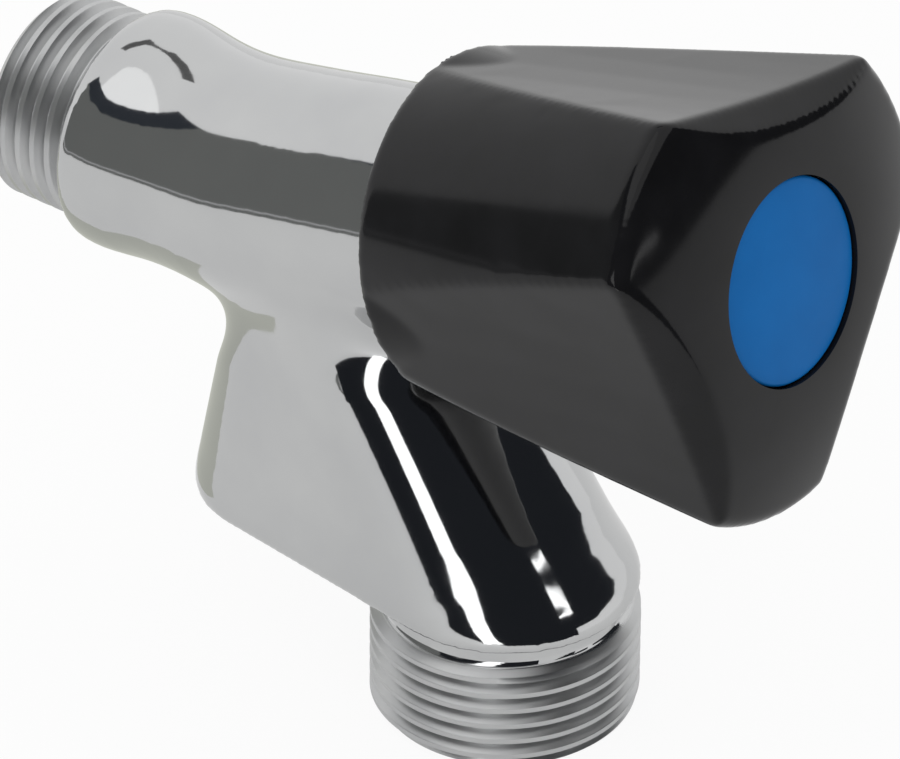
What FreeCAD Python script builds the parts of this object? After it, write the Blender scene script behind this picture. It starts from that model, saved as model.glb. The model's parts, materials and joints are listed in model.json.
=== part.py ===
import FreeCAD, Part
import math
import os

import Sketcher

# Washing machine valve: a cast body between a G 1/2 inlet and a G 3/4 outlet, shut by a grease-chamber
# headwork whose knob only turns while the plunger inside it slides.
# Row frame in mm: the origin is the centre of the inlet's shoulder, the inlet runs along X, the outlet
# points down along -Z, and the head axis rises from the bend by head_tilt. Every piece of the head is
# drawn along its own Z axis, with heights counted from the bend, and then laid onto the head axis.

SIZES = {
    # Inlet spigot and the boss behind its shoulder
    "inlet_thread_dia": 20.955,
    "inlet_thread_length": 9.6,
    "inlet_bore_dia": 14.5,
    "thread_chamfer": 0.9,
    "boss_dia": 24.4,
    "boss_neck_step": 0.8,
    "boss_land": 4.5,
    "boss_neck_start": 8.15,
    "neck_round": 14.0,
    "boss_round": 1.5,
    "boss_round_share": 0.45,
    # Barrel that carries the headwork
    "bend_from_inlet": 16.3,
    "head_tilt": 12.3,
    "barrel_dia": 24.0,
    "barrel_end": 29.0,
    # Spout and outlet spigot
    "outlet_from_inlet": 46.4,
    "outlet_drop": 34.3,
    "collar_height": 1.9,
    "collar_radius": 13.35,
    "foot_round": 0.5,
    "spout_back_centre": 25.8,
    "spout_back_radius": 10.0,
    "spout_top_drop": 4.0,
    "spout_top_front": 19.3,
    "spout_top_back": 22.4,
    "spout_top_front_radius": 10.0,
    "spout_top_back_radius": 8.0,
    "outlet_thread_dia": 26.441,
    "outlet_thread_length": 13.6,
    "outlet_relief_width": 1.5,
    "outlet_relief_depth": 1.2,
    "outlet_bore_dia": 19.0,
    "outlet_bore_rise": 2.6,
    "spout_wall": 4.0,
    "core_top_front": 18.6,
    "core_top_front_radius": 6.4,
    "core_top_back": 22.0,
    "core_top_back_radius": 5.4,
    # Seat and chamber
    "seat_height": 2.0,
    "seat_bore_dia": 10.0,
    "seat_ring_dia": 12.6,
    "seat_ring_height": 0.8,
    "seat_wall": 3.0,
    "seat_bore_depth": 6.0,
    "chamber_dia": 15.8,
    "headwork_thread_dia": 16.66,
    "headwork_thread_length": 15.0,
    "thread_gap": 0.05,
    # Headwork
    "gasket_thickness": 1.0,
    "gasket_dia": 21.6,
    "hex_flats": 19.0,
    "hex_height": 6.0,
    "hex_flange_height": 1.0,
    "hex_overlap": 1.0,
    "bonnet_top": 40.5,
    "bonnet_neck_dia": 14.6,
    "guide_dia": 10.6,
    "running_gap": 0.06,
    "thrust_height": 28.1,
    "thrust_washer_thickness": 0.6,
    "spindle_collar_height": 2.0,
    "spindle_thread_dia": 7.0,
    "spindle_thread_start": 14.5,
    "spindle_dia": 7.8,
    "spindle_top": 50.0,
    "oring_thickness": 1.0,
    "oring_groove_depth": 1.0,
    "oring_groove_width": 1.4,
    "lower_oring_height": 32.0,
    "upper_oring_height": 36.0,
    "clip_thickness": 0.8,
    "clip_gap": 0.1,
    "clip_dia": 10.6,
    "clip_groove_depth": 0.7,
    "clip_opening": 3.0,
    "seat_washer_thickness": 3.0,
    "seat_washer_dia": 13.6,
    "seat_washer_hole_dia": 4.4,
    "plunger_flange_thickness": 3.0,
    "plunger_flange_dia": 14.2,
    "plunger_top": 20.0,
    "plunger_floor": 9.0,
    "washer_nut_dia": 7.6,
    "washer_nut_height": 1.8,
    "washer_stud_dia": 4.0,
    "plunger_oring_height": 17.6,
    # Knob, its screw and the colour disc
    "knob_back": 25.7,
    "knob_back_dia": 33.5,
    "knob_rim": 61.2,
    "knob_rim_dia": 47.8,
    "knob_rim_round": 1.6,
    "knob_front": 64.0,
    "knob_dome_radius": 45.0,
    "lobe_count": 3,
    "scoop_turn": 166.2,
    "scoop_back_distance": 15.9,
    "scoop_front_distance": 17.4,
    "scoop_radius": 230.0,
    "scoop_sweep": 24.0,
    "scoop_bevel_width": 2.4,
    "scoop_bevel_height": 2.2,
    "knob_cavity_dia": 26.8,
    "knob_cavity_depth": 21.0,
    "knob_hub_dia": 13.0,
    "knob_hub_start": 42.4,
    "screw_seat": 54.0,
    "screw_dia": 3.2,
    "screw_length": 11.0,
    "screw_head_dia": 7.2,
    "screw_head_height": 2.4,
    "screw_well_dia": 9.6,
    "screw_clearance": 0.6,
    "disc_dia": 19.8,
    "disc_gap": 0.25,
    "disc_recess_floor": 59.6,
    "disc_skirt_thickness": 1.2,
    "disc_thickness": 1.2,
    "disc_sink": 0.4,
}

doc = FreeCAD.newDocument("washing_machine_valve")
sheet = doc.addObject("Spreadsheet::Sheet", "sizes")
for row, (alias, value) in enumerate(SIZES.items(), start=1):
    sheet.set(f"A{row}", alias)
    sheet.set(f"B{row}", str(value))
    sheet.setAlias(f"B{row}", alias)
doc.recompute()


def size(expression):
    """Value in mm of an expression written in the sheet's own aliases."""
    return float(sheet.evalExpression(expression))


def bound(expression):
    """The same expression as another object of the document reads it."""
    words = sorted(SIZES, key=len, reverse=True)
    text = expression
    for position, word in enumerate(words):
        text = replace_word(text, word, f"#{position}#")
    for position, word in enumerate(words):
        text = text.replace(f"#{position}#", f"sizes.{word}")
    return text


def replace_word(text, word, mark):
    """Replace a whole alias, and not a longer alias that holds it."""
    pieces = text.split(word)
    joined = pieces[0]
    for before, after in zip(pieces, pieces[1:]):
        inside = before[-1:].isalnum() or before[-1:] == "_" or after[:1].isalnum() or after[:1] == "_"
        joined += (word if inside else mark) + after
    return joined


def new_body(label):
    body = doc.addObject("PartDesign::Body", label)
    body.Label = label
    return body


def plane(body, role):
    return next(feature for feature in body.Origin.OriginFeatures if feature.Role == role)


def new_sketch(body, name, role, height="0"):
    """Sketch on one of the body's origin planes, raised along the plane's normal."""
    sketch = body.newObject("Sketcher::SketchObject", name)
    sketch.AttachmentSupport = [(plane(body, role), "")]
    sketch.MapMode = "FlatFace"
    sketch.AttachmentOffset = FreeCAD.Placement(FreeCAD.Vector(0, 0, size(height)), FreeCAD.Rotation())
    sketch.setExpression("AttachmentOffset.Base.z", bound(height))
    return sketch


def hold(sketch, kind, geometry, corner, expression):
    """Tie one coordinate of a corner to the sheet."""
    index = sketch.addConstraint(Sketcher.Constraint(kind, -1, 1, geometry, corner, size(expression)))
    sketch.setExpression(f"Constraints[{index}]", bound(expression))


def arc_between(start, end, radius):
    """Arc that bulges to the right of the way from start to end."""
    middle = (start + end) * 0.5
    chord = end - start
    across = FreeCAD.Vector(-chord.y, chord.x, 0).normalize()
    centre = middle + across * math.sqrt(radius ** 2 - (chord.Length / 2) ** 2)
    first = math.atan2(start.y - centre.y, start.x - centre.x)
    last = math.atan2(end.y - centre.y, end.x - centre.x)
    circle = Part.Circle(centre, FreeCAD.Vector(0, 0, 1), radius)
    return Part.ArcOfCircle(circle, first, last)


def draw_outline(sketch, corners):
    """Closed outline through corners (x, y), or (x, y, radius) where an arc leads on to the next corner."""
    points = [FreeCAD.Vector(size(corner[0]), size(corner[1]), 0) for corner in corners]
    count = len(corners)
    for index, corner in enumerate(corners):
        start = points[index]
        end = points[(index + 1) % count]
        if len(corner) == 3:
            sketch.addGeometry(arc_between(start, end, size(corner[2])), False)
        else:
            sketch.addGeometry(Part.LineSegment(start, end), False)
    for index in range(count):
        following = (index + 1) % count
        sketch.addConstraint(Sketcher.Constraint("Coincident", index, 2, following, 1))
    for index, corner in enumerate(corners):
        hold(sketch, "DistanceX", index, 1, corner[0])
        hold(sketch, "DistanceY", index, 1, corner[1])
        if len(corner) == 3:
            radius = sketch.addConstraint(Sketcher.Constraint("Radius", index, size(corner[2])))
            sketch.setExpression(f"Constraints[{radius}]", bound(corner[2]))


def revolve(body, name, corners, cut=False, about="V_Axis"):
    """Turn an outline of the XZ plane about an axis of its sketch, or about a line between two points."""
    sketch = new_sketch(body, name + "_outline", "XZ_Plane")
    draw_outline(sketch, corners)
    axis = about if isinstance(about, str) else draw_axis(sketch, about)
    feature = body.newObject("PartDesign::Groove" if cut else "PartDesign::Revolution", name)
    feature.Profile = sketch
    feature.ReferenceAxis = (sketch, [axis])
    feature.Angle = 360.0
    doc.recompute()
    return feature


def draw_axis(sketch, ends):
    """Construction line between two points, as the axis that an outline is turned about."""
    start = FreeCAD.Vector(size(ends[0][0]), size(ends[0][1]), 0)
    end = FreeCAD.Vector(size(ends[1][0]), size(ends[1][1]), 0)
    line = sketch.addGeometry(Part.LineSegment(start, end), True)
    for corner, point in enumerate(ends, start=1):
        hold(sketch, "DistanceX", line, corner, point[0])
        hold(sketch, "DistanceY", line, corner, point[1])
    return "Axis0"


def draw_teardrop(sketch, front_x, front_radius, back_x, back_radius):
    """Two round ends on the X axis, joined by straight sides tangent to both."""
    front = FreeCAD.Vector(size(front_x), 0, 0)
    back = FreeCAD.Vector(size(back_x), 0, 0)
    front_r = size(front_radius)
    back_r = size(back_radius)
    lean = math.acos((front_r - back_r) / (front.x - back.x))
    normal = FreeCAD.Vector(0, 0, 1)
    direction = FreeCAD.Vector(math.cos(lean), math.sin(lean), 0)
    mirrored = FreeCAD.Vector(direction.x, -direction.y, 0)
    sketch.addGeometry(Part.ArcOfCircle(Part.Circle(front, normal, front_r), -lean, lean), False)
    sketch.addGeometry(Part.LineSegment(front + direction * front_r, back + direction * back_r), False)
    sketch.addGeometry(Part.ArcOfCircle(Part.Circle(back, normal, back_r), lean, 2 * math.pi - lean), False)
    sketch.addGeometry(Part.LineSegment(back + mirrored * back_r, front + mirrored * front_r), False)
    for index in range(4):
        following = (index + 1) % 4
        sketch.addConstraint(Sketcher.Constraint("Tangent", index, 2, following, 1))
    for arc, centre_x, radius in ((0, front_x, front_radius), (2, back_x, back_radius)):
        sketch.addConstraint(Sketcher.Constraint("PointOnObject", arc, 3, -1))
        hold(sketch, "DistanceX", arc, 3, centre_x)
        index = sketch.addConstraint(Sketcher.Constraint("Radius", arc, size(radius)))
        sketch.setExpression(f"Constraints[{index}]", bound(radius))


def tilted(along, across):
    """Row-frame (x, z) of a point on the head: along its axis from the bend, across it upwards."""
    x = f"bend_from_inlet + ({along}) * cos(head_tilt * 1 deg) - ({across}) * sin(head_tilt * 1 deg)"
    z = f"({along}) * sin(head_tilt * 1 deg) + ({across}) * cos(head_tilt * 1 deg)"
    return x, z


def lay_on_head(body, turn=0.0):
    """Stand a piece that was drawn along Z onto the head axis, turned about that axis."""
    lean = FreeCAD.Rotation(FreeCAD.Vector(0, 1, 0), 90 - size("head_tilt"))
    spin = FreeCAD.Rotation(FreeCAD.Vector(0, 0, 1), turn)
    body.Placement = FreeCAD.Placement(FreeCAD.Vector(size("bend_from_inlet"), 0, 0), lean * spin)


def turned_piece(label, corners):
    """Body of revolution on the head axis, from corners (radius, height)."""
    body = new_body(label)
    revolve(body, label + "_turned", corners)
    lay_on_head(body)
    return body


def ring_piece(label, inner, outer, low, high):
    return turned_piece(label, [(inner, low), (outer, low), (outer, high), (inner, high)])


def round_ring(label, centre_radius, height, thickness):
    """O-ring on the head axis."""
    ring = doc.addObject("Part::Torus", label)
    ring.Label = label
    ring.setExpression("Radius1", bound(centre_radius))
    ring.setExpression("Radius2", bound(f"({thickness}) / 2"))
    lay_on_head(ring)
    lift = FreeCAD.Placement(FreeCAD.Vector(0, 0, size(height)), FreeCAD.Rotation())
    ring.Placement = ring.Placement * lift
    doc.recompute()
    return ring


def circles_at(feature, centre, radius):
    """Names of the circular edges of one radius round one centre."""
    found = []
    for number, edge in enumerate(feature.Shape.Edges, start=1):
        curve = edge.Curve
        if not isinstance(curve, Part.Circle):
            continue
        if abs(curve.Radius - radius) < 1e-4 and (curve.Center - centre).Length < 1e-4:
            found.append(f"Edge{number}")
    return found


def edges_on_plane(feature, axis, place):
    """Names of the edges that lie on the plane square to an axis, X or Z, at one place along it."""
    found = []
    for number, edge in enumerate(feature.Shape.Edges, start=1):
        box = edge.BoundBox
        low, high = (box.XMin, box.XMax) if axis == "X" else (box.ZMin, box.ZMax)
        if abs(low - place) < 1e-3 and abs(high - place) < 1e-3:
            found.append(f"Edge{number}")
    return found


def dress_edges(body, kind, name, base, edges, expression):
    """Fillet or chamfer named edges of the feature that went before."""
    feature = body.newObject("PartDesign::" + kind, name)
    feature.Base = (base, edges)
    target = "Radius" if kind == "Fillet" else "Size"
    feature.setExpression(target, bound(expression))
    doc.recompute()
    return feature


def build_valve_body():
    """One casting: inlet spigot and boss, tilted barrel, teardrop spout, outlet spigot and waterway."""
    body = new_body("valve_body")
    neck_radius = "(barrel_dia - boss_neck_step) / 2"
    inlet = revolve(body, "inlet", [
        ("-inlet_thread_length", "0"),
        ("-inlet_thread_length", "inlet_thread_dia / 2 - thread_chamfer"),
        ("-inlet_thread_length + thread_chamfer", "inlet_thread_dia / 2"),
        ("0", "inlet_thread_dia / 2"),
        ("0", "boss_dia / 2"),
        ("boss_land", "boss_dia / 2"),
        ("boss_neck_start", neck_radius),
        ("bend_from_inlet", neck_radius),
        ("bend_from_inlet", "0"),
    ], about="H_Axis")
    shoulder = circles_at(inlet, FreeCAD.Vector(0, 0, 0), size("boss_dia / 2"))
    dress_edges(body, "Fillet", "boss_shoulder", inlet, shoulder,
                "min(boss_round; boss_round_share * (boss_dia - inlet_thread_dia))")

    barrel = revolve(body, "barrel", [
        tilted("barrel_end", "0"),
        tilted("barrel_end", "barrel_dia / 2"),
        tilted("0", "barrel_dia / 2") + ("barrel_dia / 2",),
        tilted("-barrel_dia / 2", "0"),
    ], about=[tilted("0", "0"), tilted("barrel_end", "0")])
    neck_x = size(f"bend_from_inlet - sqrt((barrel_dia / 2) ^ 2 - ({neck_radius}) ^ 2)")
    neck = edges_on_plane(barrel, "X", neck_x)
    dress_edges(body, "Fillet", "neck_blend", barrel, neck, "neck_round")

    base = new_sketch(body, "spout_base", "XY_Plane", "collar_height - outlet_drop")
    draw_teardrop(base, "outlet_from_inlet", "collar_radius",
                  "outlet_from_inlet - spout_back_centre", "spout_back_radius")
    foot = body.newObject("PartDesign::Pad", "spout_foot")
    foot.Profile = base
    foot.Reversed = True
    foot.setExpression("Length", bound("collar_height"))
    doc.recompute()
    top = new_sketch(body, "spout_top", "XY_Plane", "-spout_top_drop")
    draw_teardrop(top, "outlet_from_inlet - spout_top_front", "spout_top_front_radius",
                  "outlet_from_inlet - spout_top_back", "spout_top_back_radius")
    spout = body.newObject("PartDesign::AdditiveLoft", "spout")
    spout.Profile = base
    spout.Sections = [top]
    spout.Ruled = True
    doc.recompute()
    underside = edges_on_plane(spout, "Z", size("-outlet_drop"))
    dress_edges(body, "Fillet", "foot_edge", spout, underside, "foot_round")

    root = "outlet_from_inlet + outlet_thread_dia / 2 - outlet_relief_depth"
    crest = "outlet_from_inlet + outlet_thread_dia / 2"
    thread_top = "-outlet_drop - outlet_relief_width"
    mouth = "-outlet_drop - outlet_thread_length"
    revolve(body, "outlet", [
        ("outlet_from_inlet", "-outlet_drop"),
        ("outlet_from_inlet", mouth),
        (crest + " - thread_chamfer", mouth),
        (crest, mouth + " + thread_chamfer"),
        (crest, thread_top + " - outlet_relief_depth"),
        (root, thread_top),
        (root, "-outlet_drop"),
    ], about=[("outlet_from_inlet", mouth), ("outlet_from_inlet", "0")])
    cut_waterway(body, mouth)
    return body


def cut_waterway(body, mouth):
    """Inlet bore, seat and chamber along the head axis, cored spout and outlet bore."""
    before = body.Shape.Volume
    revolve(body, "inlet_bore", [
        ("-inlet_thread_length", "0"),
        ("-inlet_thread_length", "inlet_bore_dia / 2"),
        ("bend_from_inlet - seat_wall", "inlet_bore_dia / 2"),
        ("bend_from_inlet - seat_wall", "0"),
    ], cut=True, about="H_Axis")
    floor = "seat_height - seat_ring_height"
    thread_start = "barrel_end - headwork_thread_length"
    revolve(body, "seat_and_chamber", [
        tilted("-seat_bore_depth", "0"),
        tilted("-seat_bore_depth", "seat_bore_dia / 2"),
        tilted("seat_height", "seat_bore_dia / 2"),
        tilted("seat_height", "seat_ring_dia / 2"),
        tilted(floor, "seat_ring_dia / 2"),
        tilted(floor, "chamber_dia / 2"),
        tilted(thread_start, "chamber_dia / 2"),
        tilted(thread_start, "headwork_thread_dia / 2"),
        tilted("barrel_end", "headwork_thread_dia / 2"),
        tilted("barrel_end", "0"),
    ], cut=True, about=[tilted("0", "0"), tilted("barrel_end", "0")])

    low = new_sketch(body, "core_base", "XY_Plane", "outlet_bore_rise - outlet_drop")
    draw_teardrop(low, "outlet_from_inlet", "outlet_bore_dia / 2",
                  "outlet_from_inlet - spout_back_centre", "spout_back_radius - spout_wall")
    high = new_sketch(body, "core_top", "XY_Plane", "-spout_top_drop")
    draw_teardrop(high, "outlet_from_inlet - core_top_front", "core_top_front_radius",
                  "outlet_from_inlet - core_top_back", "core_top_back_radius")
    core = body.newObject("PartDesign::SubtractiveLoft", "spout_core")
    core.Profile = low
    core.Sections = [high]
    core.Ruled = True
    doc.recompute()
    revolve(body, "outlet_bore", [
        ("outlet_from_inlet", "outlet_bore_rise - outlet_drop"),
        ("outlet_from_inlet", mouth),
        ("outlet_from_inlet + outlet_bore_dia / 2", mouth),
        ("outlet_from_inlet + outlet_bore_dia / 2", "outlet_bore_rise - outlet_drop"),
    ], cut=True, about=[("outlet_from_inlet", mouth), ("outlet_from_inlet", "0")])
    if body.Shape.Volume >= before:
        raise RuntimeError("the waterway cut nothing")


def build_headwork():
    """Bonnet with its gasket, and the spindle with its seals, washer and clip."""
    guide = "guide_dia / 2"
    stem = "spindle_dia / 2"
    hex_base = "barrel_end + gasket_thickness"
    bonnet_start = "barrel_end - headwork_thread_length + thread_gap"
    bonnet = new_body("bonnet")
    revolve(bonnet, "bonnet_turned", [
        (guide, bonnet_start),
        ("headwork_thread_dia / 2 - thread_gap", bonnet_start),
        ("headwork_thread_dia / 2 - thread_gap", hex_base),
        ("gasket_dia / 2", hex_base),
        ("gasket_dia / 2", hex_base + " + hex_flange_height"),
        ("bonnet_neck_dia / 2", hex_base + " + hex_flange_height"),
        ("bonnet_neck_dia / 2", "bonnet_top"),
        (stem + " + running_gap", "bonnet_top"),
        (stem + " + running_gap", "thrust_height"),
        (guide, "thrust_height"),
    ])
    hexagon = new_sketch(bonnet, "hex_outline", "XY_Plane", hex_base + " + hex_flange_height")
    corners = []
    for side in range(6):
        angle = f"{60 * side} deg"
        corners.append((f"hex_flats / sqrt(3) * cos({angle})", f"hex_flats / sqrt(3) * sin({angle})"))
    draw_outline(hexagon, corners)
    inner = "bonnet_neck_dia / 2 - hex_overlap"
    circle = Part.Circle(FreeCAD.Vector(), FreeCAD.Vector(0, 0, 1), size(inner))
    bore = hexagon.addGeometry(circle, False)
    hexagon.addConstraint(Sketcher.Constraint("Coincident", bore, 3, -1, 1))
    radius = hexagon.addConstraint(Sketcher.Constraint("Radius", bore, size(inner)))
    hexagon.setExpression(f"Constraints[{radius}]", bound(inner))
    nut = bonnet.newObject("PartDesign::Pad", "hex")
    nut.Profile = hexagon
    nut.setExpression("Length", bound("hex_height - hex_flange_height"))
    lay_on_head(bonnet)
    doc.recompute()
    pieces = [bonnet]
    pieces.append(ring_piece("bonnet_gasket", "headwork_thread_dia / 2 + thread_gap", "gasket_dia / 2",
                             "barrel_end", hex_base))

    collar_top = "thrust_height - thrust_washer_thickness"
    collar_base = "thrust_height - thrust_washer_thickness - spindle_collar_height"
    clip_base = "bonnet_top + clip_gap"
    groove = stem + " - oring_groove_depth"
    corners = [
        ("0", "spindle_thread_start"),
        ("spindle_thread_dia / 2", "spindle_thread_start"),
        ("spindle_thread_dia / 2", collar_base),
        (guide + " - running_gap", collar_base),
        (guide + " - running_gap", collar_top),
        (stem, collar_top),
    ]
    for height in ("lower_oring_height", "upper_oring_height"):
        corners += [
            (stem, height + " - oring_groove_width / 2"),
            (groove, height + " - oring_groove_width / 2"),
            (groove, height + " + oring_groove_width / 2"),
            (stem, height + " + oring_groove_width / 2"),
        ]
    corners += [
        (stem, clip_base),
        (stem + " - clip_groove_depth", clip_base),
        (stem + " - clip_groove_depth", clip_base + " + clip_thickness"),
        (stem, clip_base + " + clip_thickness"),
        (stem, "spindle_top"),
        ("screw_dia / 2 + running_gap", "spindle_top"),
        ("screw_dia / 2 + running_gap", "screw_seat - screw_length - screw_clearance"),
        ("0", "screw_seat - screw_length - screw_clearance"),
    ]
    pieces.append(turned_piece("spindle", corners))
    ring_centre = groove + " + running_gap / 2 + oring_thickness / 2"
    pieces.append(round_ring("spindle_oring_lower", ring_centre, "lower_oring_height", "oring_thickness"))
    pieces.append(round_ring("spindle_oring_upper", ring_centre, "upper_oring_height", "oring_thickness"))
    pieces.append(ring_piece("thrust_washer", stem + " + running_gap", guide + " - running_gap",
                             collar_top, "thrust_height"))
    pieces.append(build_clip(stem, clip_base))
    return pieces


def build_clip(stem, clip_base):
    """Snap ring with its mouth, in the groove over the bonnet."""
    body = new_body("spindle_clip")
    ring = [
        (stem + " - clip_groove_depth + running_gap", clip_base),
        ("clip_dia / 2", clip_base),
        ("clip_dia / 2", clip_base + " + clip_thickness"),
        (stem + " - clip_groove_depth + running_gap", clip_base + " + clip_thickness"),
    ]
    revolve(body, "clip_ring", ring)
    mouth = new_sketch(body, "clip_mouth_outline", "XY_Plane", clip_base)
    draw_outline(mouth, [("0", "-clip_opening / 2"), ("clip_dia", "-clip_opening / 2"),
                         ("clip_dia", "clip_opening / 2"), ("0", "clip_opening / 2")])
    opening = body.newObject("PartDesign::Pocket", "clip_mouth")
    opening.Profile = mouth
    opening.Reversed = True
    opening.setExpression("Length", bound("clip_thickness"))
    before = body.Shape.Volume
    doc.recompute()
    if body.Shape.Volume >= before:
        raise RuntimeError("the clip has no mouth")
    lay_on_head(body)
    return body


def build_plunger():
    """Plunger that slides in the bonnet, with its seal, the seat washer and the nut that holds it."""
    washer_top = "seat_height + seat_washer_thickness"
    flange_top = washer_top + " + plunger_flange_thickness"
    shank = "guide_dia / 2 - running_gap"
    groove = shank + " - oring_groove_depth"
    nut_base = washer_top + " - seat_washer_thickness - washer_nut_height"
    pieces = [turned_piece("plunger", [
        ("0", nut_base),
        ("washer_stud_dia / 2", nut_base),
        ("washer_stud_dia / 2", washer_top),
        ("plunger_flange_dia / 2", washer_top),
        ("plunger_flange_dia / 2", flange_top),
        (shank, flange_top),
        (shank, "plunger_oring_height - oring_groove_width / 2"),
        (groove, "plunger_oring_height - oring_groove_width / 2"),
        (groove, "plunger_oring_height + oring_groove_width / 2"),
        (shank, "plunger_oring_height + oring_groove_width / 2"),
        (shank, "plunger_top"),
        ("spindle_thread_dia / 2 + running_gap", "plunger_top"),
        ("spindle_thread_dia / 2 + running_gap", "plunger_floor"),
        ("0", "plunger_floor"),
    ])]
    ring_centre = groove + " + running_gap / 2 + oring_thickness / 2"
    pieces.append(round_ring("plunger_oring", ring_centre, "plunger_oring_height", "oring_thickness"))
    pieces.append(ring_piece("seat_washer", "seat_washer_hole_dia / 2", "seat_washer_dia / 2",
                             "seat_height", washer_top))
    pieces.append(ring_piece("washer_nut", "washer_stud_dia / 2 + thread_gap", "washer_nut_dia / 2",
                             nut_base, "seat_height"))
    return pieces


def build_knob():
    """Three-lobed knob: a flared shell with three shallow scoops, a spindle hub and a disc recess."""
    body = new_body("knob")
    cavity_top = "knob_back + knob_cavity_depth"
    recess = "disc_dia / 2 + disc_gap"
    hub_bore = "spindle_dia / 2 + thread_gap"
    shell = revolve(body, "knob_shell", [
        ("knob_cavity_dia / 2", "knob_back"),
        ("knob_back_dia / 2", "knob_back"),
        ("knob_rim_dia / 2", "knob_rim", "knob_dome_radius"),
        (recess, "knob_front"),
        (recess, "disc_recess_floor"),
        ("screw_well_dia / 2", "disc_recess_floor"),
        ("screw_well_dia / 2", "screw_seat"),
        ("screw_dia / 2 + screw_clearance", "screw_seat"),
        ("screw_dia / 2 + screw_clearance", "spindle_top"),
        (hub_bore, "spindle_top"),
        (hub_bore, "knob_hub_start"),
        ("knob_hub_dia / 2", "knob_hub_start"),
        ("knob_hub_dia / 2", cavity_top),
        ("knob_cavity_dia / 2", cavity_top),
    ])
    rim = circles_at(shell, FreeCAD.Vector(0, 0, size("knob_rim")), size("knob_rim_dia / 2"))
    dress_edges(body, "Fillet", "knob_rim_edge", shell, rim, "knob_rim_round")
    before = body.Shape.Volume
    axis_x = "scoop_front_distance + scoop_radius"
    past = "knob_rim_dia"
    crown = "knob_front + knob_rim_round"
    bevel_run = f"scoop_bevel_width * ({crown} - knob_rim) / scoop_bevel_height"
    sketch = new_sketch(body, "scoop_outline", "XZ_Plane")
    draw_outline(sketch, [
        ("scoop_back_distance", "knob_back"),
        (past, "knob_back"),
        (past, crown),
        ("scoop_front_distance - " + bevel_run, crown),
        ("scoop_front_distance", "knob_rim"),
    ])
    draw_axis(sketch, [(axis_x, "knob_back"), (axis_x, "knob_front")])
    scoop = body.newObject("PartDesign::Groove", "scoop")
    scoop.Profile = sketch
    scoop.ReferenceAxis = (sketch, ["Axis0"])
    scoop.Midplane = True
    scoop.setExpression("Angle", bound("scoop_sweep"))
    doc.recompute()
    scoops = body.newObject("PartDesign::PolarPattern", "scoops")
    scoops.Originals = [scoop]
    scoops.Axis = (sketch, ["V_Axis"])
    scoops.Angle = 360.0
    scoops.Occurrences = int(size("lobe_count"))
    body.Tip = scoops
    doc.recompute()
    if body.Shape.Volume >= before:
        raise RuntimeError("the scoops cut nothing")
    lay_on_head(body, size("scoop_turn"))
    return body


def build_knob_fittings():
    """Screw that holds the knob to the spindle, and the colour disc over it."""
    shank = "screw_dia / 2"
    screw = turned_piece("knob_screw", [
        ("0", "screw_seat - screw_length"),
        (shank, "screw_seat - screw_length"),
        (shank, "screw_seat"),
        ("screw_head_dia / 2", "screw_seat"),
        ("screw_head_dia / 2", "screw_seat + screw_head_height"),
        ("0", "screw_seat + screw_head_height"),
    ])
    face = "knob_front - disc_sink"
    disc = turned_piece("colour_disc", [
        ("0", face + " - disc_thickness"),
        ("disc_dia / 2 - disc_skirt_thickness", face + " - disc_thickness"),
        ("disc_dia / 2 - disc_skirt_thickness", "disc_recess_floor"),
        ("disc_dia / 2", "disc_recess_floor"),
        ("disc_dia / 2", face),
        ("0", face),
    ])
    return [screw, disc]


def check_and_export(pieces):
    """Stop on any failed object or shape, and then write one file for each piece."""
    doc.recompute()
    for item in doc.Objects:
        if "Invalid" in item.State or "Error" in item.State:
            raise RuntimeError(f"{item.Name} failed: {item.State}")
    for piece in pieces:
        if piece.Shape.isNull() or not piece.Shape.isValid():
            raise RuntimeError(f"{piece.Label} has no valid shape")
    os.makedirs("parts", exist_ok=True)
    for piece in pieces:
        piece.Shape.exportStep(f"parts/{piece.Label}.step")
        box = piece.Shape.BoundBox
        print(f"{piece.Label}: {piece.Shape.Volume:.1f} mm3, {len(piece.Shape.Solids)} solid, "
              f"x {box.XMin:.2f} to {box.XMax:.2f}, z {box.ZMin:.2f} to {box.ZMax:.2f}")


valve_pieces = [build_valve_body()]
valve_pieces += build_headwork()
valve_pieces += build_plunger()
valve_pieces.append(build_knob())
valve_pieces += build_knob_fittings()
check_and_export(valve_pieces)
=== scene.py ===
import json
import math

import bmesh
import bpy
from mathutils import Euler, Matrix, Vector
from mathutils.bvhtree import BVHTree


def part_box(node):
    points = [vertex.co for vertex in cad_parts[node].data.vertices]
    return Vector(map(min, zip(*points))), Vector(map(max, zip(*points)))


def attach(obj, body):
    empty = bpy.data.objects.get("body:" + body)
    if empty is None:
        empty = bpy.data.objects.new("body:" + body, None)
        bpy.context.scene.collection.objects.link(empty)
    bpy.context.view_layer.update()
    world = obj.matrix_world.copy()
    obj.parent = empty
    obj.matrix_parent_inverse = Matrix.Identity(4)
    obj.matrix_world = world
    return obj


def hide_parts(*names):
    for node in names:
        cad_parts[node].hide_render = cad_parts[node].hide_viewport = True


# Washing machine valve, dressed round its CAD frame. Lengths are in metres, in the row frame: the inlet runs
# along X, the outlet points down, and the head with its knob rises from the bend.

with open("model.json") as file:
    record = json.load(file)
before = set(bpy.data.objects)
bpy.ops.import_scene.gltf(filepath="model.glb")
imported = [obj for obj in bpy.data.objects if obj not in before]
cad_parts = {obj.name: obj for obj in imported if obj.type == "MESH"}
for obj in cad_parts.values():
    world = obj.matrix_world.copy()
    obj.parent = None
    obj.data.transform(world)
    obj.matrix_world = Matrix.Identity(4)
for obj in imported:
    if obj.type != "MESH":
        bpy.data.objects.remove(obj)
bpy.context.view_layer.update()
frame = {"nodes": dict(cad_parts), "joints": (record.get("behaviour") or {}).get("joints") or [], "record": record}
nodes = frame["nodes"]
mounts = {mount["name"]: mount for mount in frame["record"]["mounts"]}
knob_turn = next(joint for joint in frame["joints"] if joint["name"] == "knob_turn")

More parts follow.
